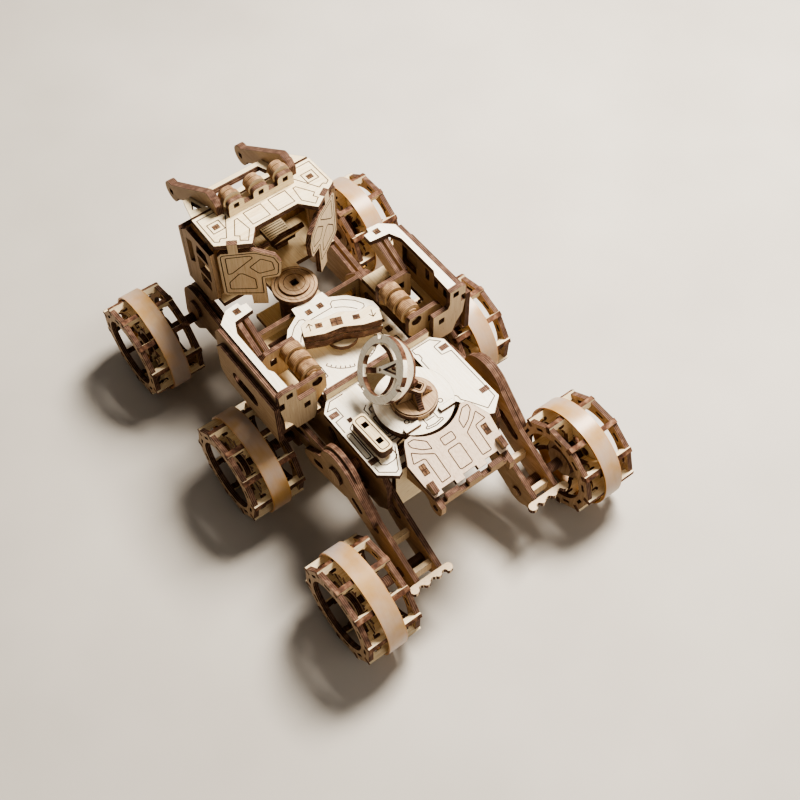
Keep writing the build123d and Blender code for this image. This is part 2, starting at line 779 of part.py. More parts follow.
def cabWalls():
    rear = cabWallRear
    ahead = cabFrontX - ply / 2
    top = cabWallTop
    wall = outline([
        (rear + 2.5, cabWallBottom + 9), (rear + 10.5, cabWallBottom), (ahead, cabWallBottom),
        (ahead, cabFrontTop), (ahead - 6.5, top), (rear, top), (rear, cabWallBottom + 20),
    ])
    wall -= outline([
        (rear + 4, top - 12), (rear + 16.5, top - 12), (rear + 14.5, top - 4.5), (rear + 5.5, top - 4.5),
    ])
    wall -= rect(rear + 4, top - 26.5, rear + 16.5, top - 15)
    wall -= rect(rear + 6.5, top - 36.5, rear + 16.5, top - 29)
    wall -= outline([
        (ahead - 10.5, top - 24), (ahead - 4.5, top - 28), (ahead - 4.5, top - 9), (ahead - 10.5, top - 7),
    ])
    front = rect(-cabWallY - ply / 2, cabWallBottom, cabWallY + ply / 2, cabFrontTop)
    front -= rect(-screenHalf, cabFrontTop - 26, screenHalf, cabFrontTop - 4)
    inside = cabWallY - ply / 2 - faceGap
    arch = screenHalf + 1
    bulkhead = rect(-inside, cabFloorZ, inside, cabTopZ - ply) - rect(-arch, cabFloorZ, arch, top - 2)
    for side in (1, -1):
        middle = side * roofTabY
        bulkhead += rect(middle - roofTab / 2, cabTopZ - ply, middle + roofTab / 2, cabTopZ)
    sides = both(sidePlate(wall, cabWallY))
    return sides + [crossPlate(front, cabFrontX + faceGap), crossPlate(bulkhead, roofTabX)]


def cabVisor():
    drop = cabTopZ - visorFrontZ
    run = visorFrontX - visorRearX
    slope = atan2(drop, run)
    long = hypot(drop, run)
    plane = Plane(origin=(visorRearX, 0, cabTopZ), x_dir=(cos(slope), 0, -sin(slope)),
                  z_dir=(sin(slope), 0, cos(slope)))
    sketch = outline(mirrored([(0, 38.0), (long, 31.0)]))
    sketch -= rect(6, -16, long - 6, 16)
    half = roofArmT / 2 + faceGap
    for side in (1, -1):
        sketch -= outline([(6, side * 28.4), (9, side * 33.0), (19.5, side * 28.6), (17, side * 28.4)])
        sketch -= rect(3, side * (roofArmY - half), long + 1, side * (roofArmY + half))
    return [extrude(plane * sketch, amount=-ply).solid()]


def panelPlane(side):
    # A vertical plane through the slanted rear edge of the roof.
    along = Vector(roofPoint[0] - roofCorner[0], side * (roofPoint[1] - roofCorner[1]), 0).normalized()
    out = Vector(-side * along.Y, side * along.X, 0) * -1
    return Plane(origin=(roofCorner[0], side * roofCorner[1], 0), x_dir=along, z_dir=out)


def cabPanels():
    # Across the panel from the roof's outer corner, and height.
    top = cabTopZ
    shoulder = top - 6.8
    points = [
        (0.5, shoulder - 2.2), (2.5, shoulder), (panelTab[0], shoulder), (panelTab[0], top),
        (panelTab[1], top), (panelTab[1], shoulder), (21.0, shoulder + 0.4), (31.6, top - 11.7),
        (34.5, top - 17.9), (33.6, top - 26.4), (32.4, top - 28.8), (24.4, top - 29.8), (24.2, top - 51.8),
        (15.8, top - 50.9), (15.6, top - 43.4), (2.0, top - 41.4), (0.5, top - 40.0),
    ]
    panels = []
    for side in (1, -1):
        plane = panelPlane(side)
        sign = 1 if plane.y_dir.Z > 0 else -1
        panels.append(extrude(plane * outline([(s, sign * z) for s, z in points]), amount=-ply).solid())
    return panels


def cabSeats():
    seats = []
    for side in (1, -1):
        y = side * (seatY + 1)
        seatZ = cabFloorZ + 8.7
        seatX = cabWallRear + 19.0
        back = Pos(seatX - 11.0, y, seatZ + 8.5) * Rot(0, -35, 0) * Box(ply, 15, 25)
        base = Pos(seatX, y, seatZ) * Box(15, 15, ply)
        leg = Pos(seatX, y, (cabFloorZ + seatZ) / 2) * Box(8, 8, seatZ - cabFloorZ)
        seats.append((back + base + leg).solid())
    return seats


def roofArms():
    x, z = roofArmRootX, roofArmRootZ
    arm = link((x, z), 4.5, (roofArmTipX, roofArmTipZ), 4.5)
    arm += disc(roofArmTipX, roofArmTipZ, roofArmTipR)
    arm += outline([
        (x - 8, cabTopZ), (x - 2, cabTopZ), (x + 4, z - 2.3), (x + 2, z + 2.7), (x - 5, z + 3.7),
        (x - 8, z + 0.7),
    ])
    arm -= slot(roofArmTipX, roofArmTipZ, 3.2, 3.2)
    return both(sidePlate(arm, roofArmY, roofArmT))


def lightBar():
    half = rect(-barHalf, cabTopZ, barHalf, barTopZ - 5.5)
    for y in (-lampPitch, 0, lampPitch):
        half += Pos(y, barTopZ - 4.5) * RectangleRounded(10, 9, 2.5)
        half -= slot(y, lampZ - 0.2, 3, 3)
    bar = crossPlate(half, barX)
    front = barX + ply / 2
    for y in (-lampPitch, 0, lampPitch):
        bar += Pos(front + 4.2, y, lampZ) * Box(8.5, 3.6, 3.6)
        bar += Pos(front - 1.4, y, lampZ) * Box(ply, 4.4, 4.4) - Pos(front - 2.4, y, lampZ) * Box(ply, 3, 3)
        bar += rod((front + 1.2, y, lampZ), (1, 0, 0), lampR, ply)
        bar += rod((front + 5.2, y, lampZ), (1, 0, 0), lampR - 0.8, ply)
    return [bar.solid()]


writeWheels()
save("side_frames", *sideFrames())
save("floor_plate", floorPlate())
save("cross_walls", *crossWalls())
save("dial_walls", *dialWalls())
save("dial_plate", dialPlate())
save("deck_plates", *deckPlates())
save("tail_plate", tailPlate())
save("tail_ears", *tailEars())
save("turret_disc", turretDisc())
save("rocker_plates", *rockers(), *rockerCovers())
save("bogie_plates", *bogies())
save("arm_links", *armLinks(), *rearYokes())
save("pivot_pins", *pivotPins())
save("drive_gears", *driveGears())
save("pod_tops", *podTops())
save("pod_walls", *podWalls())
save("pod_floors", *podFloors())
save("pod_ends", *podEnds())
save("pod_rolls", *podRolls())
save("pod_brackets", *podBrackets())
save("pod_struts", *podStruts())
save("winding_key", *windingKey())
save("lever", *lever())
save("antenna_drum", antennaDrum())
save("dish_frame", dishFrame())
save("cab_floor", *cabFloor())
save("turntable", *turntable())
save("cab_roof", *cabRoof())
save("cab_walls", *cabWalls())
save("cab_visor", *cabVisor())
save("cab_panels", *cabPanels())
save("cab_seats", *cabSeats())
save("roof_arms", *roofArms())
save("light_bar", *lightBar())
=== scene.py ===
import bpy
import json
from math import radians, cos, sin, pi, atan2
from mathutils import Matrix, Vector


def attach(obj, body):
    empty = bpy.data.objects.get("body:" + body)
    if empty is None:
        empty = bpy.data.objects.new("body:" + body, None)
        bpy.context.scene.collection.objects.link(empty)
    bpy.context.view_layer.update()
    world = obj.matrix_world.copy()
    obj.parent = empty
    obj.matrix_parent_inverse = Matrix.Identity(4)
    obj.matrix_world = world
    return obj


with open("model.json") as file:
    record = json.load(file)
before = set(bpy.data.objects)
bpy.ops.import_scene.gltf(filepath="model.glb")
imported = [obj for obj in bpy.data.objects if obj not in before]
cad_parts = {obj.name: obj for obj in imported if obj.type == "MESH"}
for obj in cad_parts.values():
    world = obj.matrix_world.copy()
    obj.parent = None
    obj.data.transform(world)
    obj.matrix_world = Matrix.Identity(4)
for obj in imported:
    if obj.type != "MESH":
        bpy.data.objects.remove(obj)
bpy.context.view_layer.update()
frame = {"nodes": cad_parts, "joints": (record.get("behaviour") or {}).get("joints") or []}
cadNodes = frame["nodes"]

mm = 0.001
# where each wheel turns; the middle axle is where x is measured from in the drawings below
wheelCentres = {joint["child"]: Vector(joint["pos_m"]) for joint in frame["joints"]
                if joint["child"].startswith("wheel_")}
midAxleX = wheelCentres["wheel_middle_left"].x / mm
print("cad frame in:", len(cadNodes), "nodes")

# camera: place, angle and lens solved from the six wheels
cam = {"place": (-0.3374, 0.2131, 0.6134), "turn": (33.61, 0.51, -127.14),
       "lens": 54.54, "sensor": 36, "nearest": 0.01}
bpy.ops.object.camera_add(location=cam["place"], rotation=[radians(a) for a in cam["turn"]])
camera = bpy.context.object
camera.data.lens = cam["lens"]
camera.data.sensor_width = cam["sensor"]
camera.data.clip_start = cam["nearest"]
bpy.context.scene.camera = camera
print("camera set")

# one high key from the right of the picture and a wide weak warm fill low behind the tail
lights = {
    "keyLight": {"place": (0.10, -0.50, 0.92), "size": 0.34, "power": 18.5, "colour": (1.0, 0.965, 0.91)},
    "fillLight": {"place": (-0.95, -0.20, 0.50), "size": 0.9, "power": 2.6, "colour": (1.0, 0.95, 0.88)},
}
studio = {"aim": (0, 0, 0.05), "sky": (0.88, 0.84, 0.80, 1), "skyPower": 0.16, "exposure": 0.2,
          "floorSize": 8}


def areaLight(name, place, size, power, colour):
    bpy.ops.object.light_add(type="AREA", location=place)
    lamp = bpy.context.object
    lamp.name = name
    lamp.data.size = size
    lamp.data.energy = power
    lamp.data.color = colour
    lamp.rotation_euler = (Vector(studio["aim"]) - Vector(place)).to_track_quat("-Z", "Y").to_euler()


for name, light in lights.items():
    areaLight(name, **light)

world = bpy.data.worlds.new("studioWorld")
bpy.context.scene.world = world
world.use_nodes = True
world.node_tree.nodes["Background"].inputs["Color"].default_value = studio["sky"]
world.node_tree.nodes["Background"].inputs["Strength"].default_value = studio["skyPower"]
bpy.context.scene.view_settings.view_transform = "AgX"
bpy.context.scene.view_settings.look = "AgX - High Contrast"
bpy.context.scene.view_settings.exposure = studio["exposure"]
print("lights set")


# sRGB hex to linear
def hexColour(code):
    out = []
    for k in (0, 2, 4):
        v = int(code[k:k + 2], 16) / 255
        out.append(v / 12.92 if v <= 0.04045 else ((v + 0.055) / 1.055) ** 2.4)
    return (*out, 1.0)


# a pattern's scale from the size of its features in mm
def scaleOf(size):
    return 1 / (size * mm)


def setInputs(tree, node, inputs):
    for key, value in inputs.items():
        if isinstance(value, bpy.types.NodeSocket):
            tree.links.new(value, node.inputs[key])
        else:
            node.inputs[key].default_value = value


# inputs are values or links, settings are the node's own, and stops are a ramp's places and colours
def addNode(tree, kind, inputs=None, settings=None, stops=()):
    made = tree.nodes.new(kind)
    for key, value in (settings or {}).items():
        setattr(made, key, value)
    setInputs(tree, made, inputs or {})
    if stops:
        ramp = made.color_ramp
        while len(ramp.elements) < len(stops):
            ramp.elements.new(0.5)
        for element, (at, code) in zip(ramp.elements, stops):
            element.position = at
            element.color = hexColour(code)
    return made


def newMaterial(name):
    mat = bpy.data.materials.new(name)
    mat.use_nodes = True
    tree = mat.node_tree
    coords = addNode(tree, "ShaderNodeTexCoord").outputs["Object"]
    return mat, tree, tree.nodes["Principled BSDF"], coords


# settings of the Mix node for colours, and its sockets for them
mixColour = {"data_type": "RGBA", "blend_type": "MIX"}
multiplyColour = {"data_type": "RGBA", "blend_type": "MULTIPLY"}
mixBy, mixBelow, mixAbove, mixed = 0, 6, 7, 2


# how close a point lies to a cut edge: strength at the edge, 0 from about reach millimetres on
def edgeNearness(tree, reach, strength):
    rounded = addNode(tree, "ShaderNodeBevel", {"Radius": reach * mm}, {"samples": 4})
    flat = addNode(tree, "ShaderNodeNewGeometry")
    meet = addNode(tree, "ShaderNodeVectorMath",
                   {0: rounded.outputs["Normal"], 1: flat.outputs["True Normal"]},
                   {"operation": "DOT_PRODUCT"})
    near = addNode(tree, "ShaderNodeMapRange",
                   {"Value": meet.outputs["Value"], "From Min": 0.985, "From Max": 0.80})
    held = addNode(tree, "ShaderNodeMath", {0: near.outputs["Result"], 1: strength},
                   {"operation": "MULTIPLY"})
    return held.outputs["Value"]


# sanded birch veneer: long streaks that fade in soft patches, short dark flecks, and a thin scorched line
# with a little smoke where the laser cut the outline; sizes in mm, and the streaks and flecks are drawn
# coarser than in real birch, as they would be too fine to show
plywood = {"streakLong": 14.29, "streakWide": 0.7143, "fleckLong": 2.5, "fleckWide": 0.5263,
           "patch": 20.83, "smoke": 2.381, "burnReach": 0.55, "relief": 0.08,
           "fleck": "9C7A55", "burn": "3A2418"}


def birchFace(name, grain, light, mid, dark):
    mat, tree, shader, coords = newMaterial(name)
    streakScale = [scaleOf(plywood["streakLong" if axis == grain else "streakWide"]) for axis in "xyz"]
    fleckScale = [scaleOf(plywood["fleckLong" if axis == grain else "fleckWide"]) for axis in "xyz"]
    drawnOut = addNode(tree, "ShaderNodeMapping", {"Vector": coords, "Scale": streakScale})
    short = addNode(tree, "ShaderNodeMapping", {"Vector": coords, "Scale": fleckScale})
    streak = addNode(tree, "ShaderNodeTexNoise",
                     {"Vector": drawnOut.outputs["Vector"], "Scale": 1.0, "Detail": 4.0,
                      "Roughness": 0.62, "Distortion": 0.4})
    patch = addNode(tree, "ShaderNodeTexNoise",
                    {"Vector": coords, "Scale": scaleOf(plywood["patch"]), "Detail": 2.0})
    fleck = addNode(tree, "ShaderNodeTexNoise",
                    {"Vector": short.outputs["Vector"], "Scale": 1.0, "Detail": 1.0})
    smoke = addNode(tree, "ShaderNodeTexNoise",
                    {"Vector": coords, "Scale": scaleOf(plywood["smoke"]), "Detail": 3.0})

    tint = addNode(tree, "ShaderNodeValToRGB", {"Fac": streak.outputs["Fac"]},
                   stops=[(0.30, dark), (0.50, mid), (0.72, light)])
    fade = addNode(tree, "ShaderNodeMapRange",
                   {"Value": patch.outputs["Fac"], "From Min": 0.35, "From Max": 0.75, "To Max": 0.5})
    soft = addNode(tree, "ShaderNodeMix",
                   {mixBy: fade.outputs["Result"], mixBelow: tint.outputs["Color"],
                    mixAbove: hexColour(mid)}, mixColour)
    spots = addNode(tree, "ShaderNodeMapRange",
                    {"Value": fleck.outputs["Fac"], "From Min": 0.66, "From Max": 0.80, "To Max": 0.38})
    flecked = addNode(tree, "ShaderNodeMix",
                      {mixBy: spots.outputs["Result"], mixBelow: soft.outputs[mixed],
                       mixAbove: hexColour(plywood["fleck"])}, multiplyColour)
    uneven = addNode(tree, "ShaderNodeMapRange",
                     {"Value": smoke.outputs["Fac"], "From Min": 0.3, "From Max": 0.6,
                      "To Min": 0.55, "To Max": 0.95})
    outlined = addNode(tree, "ShaderNodeMix",
                       {mixBy: edgeNearness(tree, plywood["burnReach"], uneven.outputs["Result"]),
                        mixBelow: flecked.outputs[mixed], mixAbove: hexColour(plywood["burn"])}, mixColour)
    rough = addNode(tree, "ShaderNodeMapRange",
                    {"Value": streak.outputs["Fac"], "To Min": 0.47, "To Max": 0.67})
    bump = addNode(tree, "ShaderNodeBump",
                   {"Height": streak.outputs["Fac"], "Strength": 0.22, "Distance": plywood["relief"] * mm})
    setInputs(tree, shader, {"Base Color": outlined.outputs[mixed], "Roughness": rough.outputs["Result"],
                             "IOR": 1.52, "Specular IOR Level": 0.35, "Normal": bump.outputs["Normal"]})
    return mat


# laser-cut edge of the plywood: its veneers show as bands, browned unevenly, darkest at the glue lines
# and at the rim; with no axis given it is scorched all over, without bands; sizes in mm
cutEdge = {"ply": 1.0, "scorch": 3.846, "smoke": 26.32, "relief": 0.1,
           "rim": "2C1A12", "rimReach": 0.4, "rimStrength": 0.7}
waveTurn = pi / 10  # the Wave node's bands at scale 1 repeat at this distance


def burntEdge(name, across, char, brown, pale):
    mat, tree, shader, coords = newMaterial(name)
    scorch = addNode(tree, "ShaderNodeTexNoise",
                     {"Vector": coords, "Scale": scaleOf(cutEdge["scorch"]), "Detail": 4.0,
                      "Roughness": 0.6})
    scorched = addNode(tree, "ShaderNodeValToRGB", {"Fac": scorch.outputs["Fac"]},
                       stops=[(0.30, char), (0.50, brown), (0.70, pale)])
    burnt = scorched.outputs["Color"]
    height = scorch.outputs["Fac"]
    if across:
        smoke = addNode(tree, "ShaderNodeTexNoise",
                        {"Vector": coords, "Scale": scaleOf(cutEdge["smoke"]), "Detail": 2.0})
        plies = addNode(tree, "ShaderNodeTexWave",
                        {"Vector": coords, "Scale": waveTurn * scaleOf(cutEdge["ply"]), "Distortion": 0.5,
                         "Detail": 1.0, "Detail Scale": 1.5},
                        {"wave_type": "BANDS", "bands_direction": across.upper()})
        layers = addNode(tree, "ShaderNodeValToRGB", {"Fac": plies.outputs["Fac"]},
                         stops=[(0.12, char), (0.45, brown), (0.85, pale)])
        fade = addNode(tree, "ShaderNodeMapRange",
                       {"Value": smoke.outputs["Fac"], "From Min": 0.3, "From Max": 0.7,
                        "To Min": 0.3, "To Max": 0.8})
        layered = addNode(tree, "ShaderNodeMix",
                          {mixBy: fade.outputs["Result"], mixBelow: layers.outputs["Color"],
                           mixAbove: burnt}, mixColour)
        burnt = layered.outputs[mixed]
        height = plies.outputs["Fac"]
    outlined = addNode(tree, "ShaderNodeMix",
                       {mixBy: edgeNearness(tree, cutEdge["rimReach"], cutEdge["rimStrength"]),
                        mixBelow: burnt, mixAbove: hexColour(cutEdge["rim"])}, mixColour)
    rough = addNode(tree, "ShaderNodeMapRange",
                    {"Value": scorch.outputs["Fac"], "To Min": 0.62, "To Max": 0.88})
    bump = addNode(tree, "ShaderNodeBump",
                   {"Height": height, "Strength": 0.3, "Distance": cutEdge["relief"] * mm})
    setInputs(tree, shader, {"Base Color": outlined.outputs[mixed], "Roughness": rough.outputs["Result"],
                             "IOR": 1.5, "Specular IOR Level": 0.25, "Normal": bump.outputs["Normal"]})
    return mat


# stretched natural rubber: cloudy and milky, its cloud going from tan to a grey that is partly the milky
# rubber and partly painted reflection of a cool sheen; light glows through it, with a faint bloom on its
# face, amber along its cut rims and fine streaks from the stretching; sizes in mm
band = {"cloud": 20.83, "streakLong": 16.67, "streakWide": 1.4286, "relief": 0.1, "depth": 1.2,
        "rimReach": 1.6, "rimStrength": 0.75, "bloom": "C9CAD6"}


def rubberBand(name, dark, mid, light, rim, through):
    mat, tree, shader, coords = newMaterial(name)
    streakScale = [scaleOf(band[size]) for size in ("streakLong", "streakWide", "streakLong")]
    drawnOut = addNode(tree, "ShaderNodeMapping", {"Vector": coords, "Scale": streakScale})
    cloud = addNode(tree, "ShaderNodeTexNoise",
                    {"Vector": coords, "Scale": scaleOf(band["cloud"]), "Detail": 3.0})
    streak = addNode(tree, "ShaderNodeTexNoise",
                     {"Vector": drawnOut.outputs["Vector"], "Scale": 1.0, "Detail": 2.0})
    # the light end of the cloud is grey: partly the milky rubber, partly painted reflection
    tint = addNode(tree, "ShaderNodeValToRGB", {"Fac": cloud.outputs["Fac"]},
                   stops=[(0.32, dark), (0.48, mid), (0.66, light)])
    faint = addNode(tree, "ShaderNodeMapRange",
                    {"Value": streak.outputs["Fac"], "From Min": 0.4, "From Max": 0.7, "To Max": 0.08})
    streaked = addNode(tree, "ShaderNodeMix",
                       {mixBy: faint.outputs["Result"], mixBelow: tint.outputs["Color"],
                        mixAbove: hexColour(dark)}, multiplyColour)
    rimmed = addNode(tree, "ShaderNodeMix",
                     {mixBy: edgeNearness(tree, band["rimReach"], band["rimStrength"]),
                      mixBelow: streaked.outputs[mixed], mixAbove: hexColour(rim)}, mixColour)
    rough = addNode(tree, "ShaderNodeMapRange",
                    {"Value": cloud.outputs["Fac"], "To Min": 0.30, "To Max": 0.46})
    bump = addNode(tree, "ShaderNodeBump",
                   {"Height": streak.outputs["Fac"], "Strength": 0.06, "Distance": band["relief"] * mm})
    setInputs(tree, shader, {"Base Color": rimmed.outputs[mixed], "Roughness": rough.outputs["Result"],
                             "IOR": 1.52, "Subsurface Weight": through,
                             "Subsurface Scale": band["depth"] * mm,
                             "Subsurface Radius": (1.0, 0.55, 0.22), "Sheen Weight": 0.25,
                             "Sheen Roughness": 0.4, "Sheen Tint": hexColour(band["bloom"]),
                             "Normal": bump.outputs["Normal"]})
    return mat


# laser engraving: matt char with some brown in it; size in mm, drawn coarser than real char, as that
# would be too fine to show
charGrit = 1.111


def engravedChar(name):
    mat, tree, shader, coords = newMaterial(name)
    grit = addNode(tree, "ShaderNodeTexNoise",
                   {"Vector": coords, "Scale": scaleOf(charGrit), "Detail": 3.0})
    tint = addNode(tree, "ShaderNodeValToRGB", {"Fac": grit.outputs["Fac"]},
                   stops=[(0.3, "2A1A10"), (0.6, "4A2F1D"), (0.8, "6A4930")])
    setInputs(tree, shader, {"Base Color": tint.outputs["Color"], "Roughness": 0.85, "IOR": 1.5})
    return mat


# pale matt paper with a hardly visible mottle; size in mm
paperMottle = 111.1


def backgroundPaper(name):
    mat, tree, shader, coords = newMaterial(name)
    mottle = addNode(tree, "ShaderNodeTexNoise",
                     {"Vector": coords, "Scale": scaleOf(paperMottle), "Detail": 3.0})
    tint = addNode(tree, "ShaderNodeValToRGB", {"Fac": mottle.outputs["Fac"]},
                   stops=[(0.3, "BFB8AE"), (0.7, "C9C2B8")])
    setInputs(tree, shader, {"Base Color": tint.outputs["Color"], "Roughness": 0.7})
    return mat


# sheets by the way their grain runs, then two darker ones that are painted shade for sheets turned away
# from the key light, a whiter one that is painted light for lit top sheets, and a pinkish one
birch = {"x": birchFace("laser-cut birch plywood, grain along the hull", "x", "F0DFBF", "E5CFA8", "D0B488"),
         "y": birchFace("laser-cut birch plywood, grain across", "y", "F4E7CC", "EAD8B6", "D8BF96"),
         "z": birchFace("laser-cut birch plywood, grain upright", "z", "DFCCB0", "D3BC9B", "C6AB89")}
shadedVeneer = {"x": birchFace("laser-cut birch plywood, browned sheet, grain along the hull", "x",
                          "C7AE8E", "B19474", "957759"),
           "z": birchFace("laser-cut birch plywood, browned sheet, grain upright", "z",
                          "CBB293", "B59879", "997B5D")}
# the whiter veneer is painted light: top sheets and the dish drawn lighter than the birch, as if lit
pale = birchFace("laser-cut birch plywood, pale sheet", "x", "FBF5E8", "F4EAD6", "E9DABD")
pink = birchFace("laser-cut birch plywood, pinkish sheet", "x", "E6D3BF", "DAC3AB", "C6AB90")
edge = {k: burntEdge("laser-charred plywood edge across " + k, k, "2B1C15", "63473A", "9A7C68")
        for k in "xyz"}
plainEdge = burntEdge("laser-charred plywood edge", "", "3A251B", "6E4E3D", "A07D64")
# a lighter edge for round sides, a painted highlight on their curves
highlitEdge = burntEdge("lightly browned plywood edge", "x", "563C2C", "967658", "C4A684")
tabEdge = burntEdge("charred ends of plywood tabs", "", "3B281D", "70543F", "A08164")
# the lightest cloud colour B7A79B is grey, partly painted reflection of a cool sheen
rubber = rubberBand("natural rubber band", "BB9665", "BEA286", "B7A79B", "C48F42", 0.22)
rubberCut = rubberBand("natural rubber band, cut side", "A8722F", "BC8A45", "CFA468", "96621F", 0.35)
char = engravedChar("laser-engraved char")
print("materials made")

# floor
bpy.ops.mesh.primitive_plane_add(size=studio["floorSize"], location=(0, 0, 0))
studioFloor = bpy.context.object
studioFloor.name = "studioFloor"
studioFloor.data.materials.append(backgroundPaper("pale studio paper"))

# a face looks along a direction when their dot product is over this
facing = 0.97


# gives a node its finishes, the one for each polygon chosen by its place or normal
def dress(name, finishes, choose):
    node = cadNodes[name]
    node.data.materials.clear()
    for finish in finishes:
        node.data.materials.append(finish)
    for polygon in node.data.polygons:
        polygon.material_index = choose(polygon)


# a sheet's two faces get the veneer, everything else on it the burnt edge
def dressSheet(name, axes, veneer, rim):
    directions = [Vector(a).normalized() for a in axes]
    dress(name, [veneer, rim], lambda p: 0 if any(abs(p.normal.dot(d)) > facing for d in directions) else 1)


def level(turn):
    return (cos(radians(turn)), sin(radians(turn)), 0)


def upright(lean):
    return (sin(lean), 0, cos(lean))


ahead, aside, up = (1, 0, 0), (0, 1, 0), (0, 0, 1)
tailSlope = radians(21.2)
visorSlope = atan2(10.9, 23.6)  # its drop and run in mm
seatLean = radians(55)
panelFaces = [(0.852, -0.523, 0), (0.852, 0.523, 0)]
gussetTurn = 168

# the darker veneer of the first rows, of the turntable and of the antenna drum is painted shade; the whiter
# veneer of the top sheets is painted light
# nodes, the directions that their sheets face, veneer, edge
sheetTable = [
    ("side_frames rocker_plates bogie_plates pod_walls pod_struts dial_walls roof_arms",
     [aside], shadedVeneer["x"], edge["y"]),
    ("tail_ears", [aside, ahead], shadedVeneer["x"], edge["y"]),
    ("drive_gears pivot_pins", [aside], shadedVeneer["z"], edge["y"]),
    ("cab_walls", [ahead, aside], shadedVeneer["z"], edge["z"]),
    ("floor_plate cab_floor pod_floors lever", [up], birch["x"], edge["z"]),
    ("cab_roof winding_key", [up], birch["y"], edge["z"]),
    ("cab_visor", [upright(visorSlope)], birch["y"], edge["z"]),
    ("cab_seats", [upright(seatLean), up], birch["y"], edge["x"]),
    ("cab_panels", panelFaces, birch["z"], edge["x"]),
    ("turntable", [up], shadedVeneer["x"], edge["z"]),
    ("antenna_drum", [up, level(gussetTurn), level(gussetTurn + 90)], shadedVeneer["x"], edge["z"]),
    ("pod_tops deck_plates dial_plate turret_disc", [up], pale, edge["z"]),
    ("tail_plate", [upright(-tailSlope)], pink, edge["z"]),
    ("cross_walls", [ahead], birch["y"], edge["x"]),
    ("pod_ends pod_brackets", [ahead], birch["z"], edge["x"]),
    ("pod_rolls", [ahead], birch["z"], highlitEdge),
    ("arm_links", [ahead, up], birch["z"], edge["x"]),
]
for names, axes, veneer, rim in sheetTable:
    for name in names.split():
        dressSheet(name, axes, veneer, rim)

# the lamps' round sides get a lighter edge than the bar that they stand on: a painted highlight on their
# curves
bar = {"lampRearX": 86.5, "sideways": 0.5}


def chooseOnBar(polygon):
    if abs(polygon.normal.x) > facing:
        return 0
    onLamp = polygon.center.x > (bar["lampRearX"] + midAxleX) * mm
    return 2 if onLamp and abs(polygon.normal.x) < bar["sideways"] else 1


dress("light_bar", [birch["y"], edge["x"], highlitEdge], chooseOnBar)

# dish: flat ring, flared half ring, the two bows behind it and their bracket, each a sheet of its own
dish = {"tilt": 55.7, "turn": 79.5, "roll": 48.0, "flare": 27.0}
dishTurn = Matrix.Rotation(radians(dish["turn"]), 3, "Z") @ Matrix.Rotation(radians(dish["tilt"]), 3, "Y")
dishTurn = dishTurn @ Matrix.Rotation(radians(90 + dish["roll"]), 3, "Z")
flareTurn = dishTurn @ Matrix.Rotation(radians(dish["flare"]), 3, "Y")
dishFaces = [dishTurn.col[2], flareTurn.col[2], dishTurn.col[0], dishTurn.col[1], level(dish["turn"] + 90)]
# the dish gets the whiter veneer, painted light
dressSheet("dish_frame", dishFaces, pale, plainEdge)

# cage wheels: veneer on the web's faces near its middle and on the broad sides of the rungs; sizes in mm,
# the last three are limits for how far a polygon's normal leans
wheel = {"webR": 22.2, "webHalf": 2.0, "hubR": 12.0, "rungLean": 0.15, "rungTwist": 0.05, "bandOuter": 0.5}


def outward(polygon, centre):
    return Vector((polygon.center.x - centre.x, 0, polygon.center.z - centre.z))


def dressSpider(name, centre):
    def choose(polygon):
        out = outward(polygon, centre)
        if abs(polygon.normal.y) > facing:
            onWeb = abs(polygon.center.y - centre.y) < wheel["webHalf"] * mm
            return 0 if onWeb and out.length < wheel["webR"] * mm else 1
        onRung = abs(polygon.normal.dot(out.normalized())) < wheel["rungLean"]
        straight = abs(polygon.normal.y) < wheel["rungTwist"]
        return 0 if onRung and straight and out.length > wheel["hubR"] * mm else 1

    dress(name, [birch["y"], plainEdge], choose)


def dressBand(name, centre):
    dress(name, [rubber, rubberCut],
          lambda p: 0 if p.normal.dot(outward(p, centre).normalized()) > wheel["bandOuter"] else 1)


# rims and axles get the darker veneer, painted shade
for body, centre in wheelCentres.items():
    for part in ("_rims", "_axle"):
        dressSheet(body + part, [aside], shadedVeneer["z"], edge["y"])
    dressSpider(body + "_spider", centre)
    dressBand(body + "_band", centre)
print("frame dressed")

# engraving: thin lines of char on the sheets, drawn flat in millimetres and set on their sheet
engraving = {"width": 0.52, "height": 0.07, "sink": 0.03}


def setPlane(origin, u, v):
    u = Vector(u).normalized()
    v = Vector(v).normalized()
    w = u.cross(v)
    place = Matrix((u, v, w)).transposed().to_4x4()
    x, y, z = origin
    place.translation = Vector((x + midAxleX, y, z)) * mm - w * engraving["sink"] * mm
    return place


def onTop(z, x=0, y=0, turn=0):
    return setPlane((x, y, z), level(turn), level(turn + 90))


# outlines: part of a circle, a whole one, a rectangle by its corners, and one round a middle
def arc(x, y, r, start, stop, steps):
    turns = [radians(start + (stop - start) * k / steps) for k in range(steps + 1)]
    return [(x + r * cos(a), y + r * sin(a)) for a in turns]


def circle(x, y, r, count):
    step = 360 / count
    return arc(x, y, r, 0, 360 - step, count - 1)


def block(x0, y0, x1, y1):
    return [(x0, y0), (x1, y0), (x1, y1), (x0, y1)]


def around(x, y, halfLong, halfWide):
    return block(x - halfLong, y - halfWide, x + halfLong, y + halfWide)


def flipped(points):
    return [(x, -y) for x, y in reversed(points)]


def bothSides(rings):
    return [ring for points, corner in rings for ring in ((points, corner), (flipped(points), corner))]


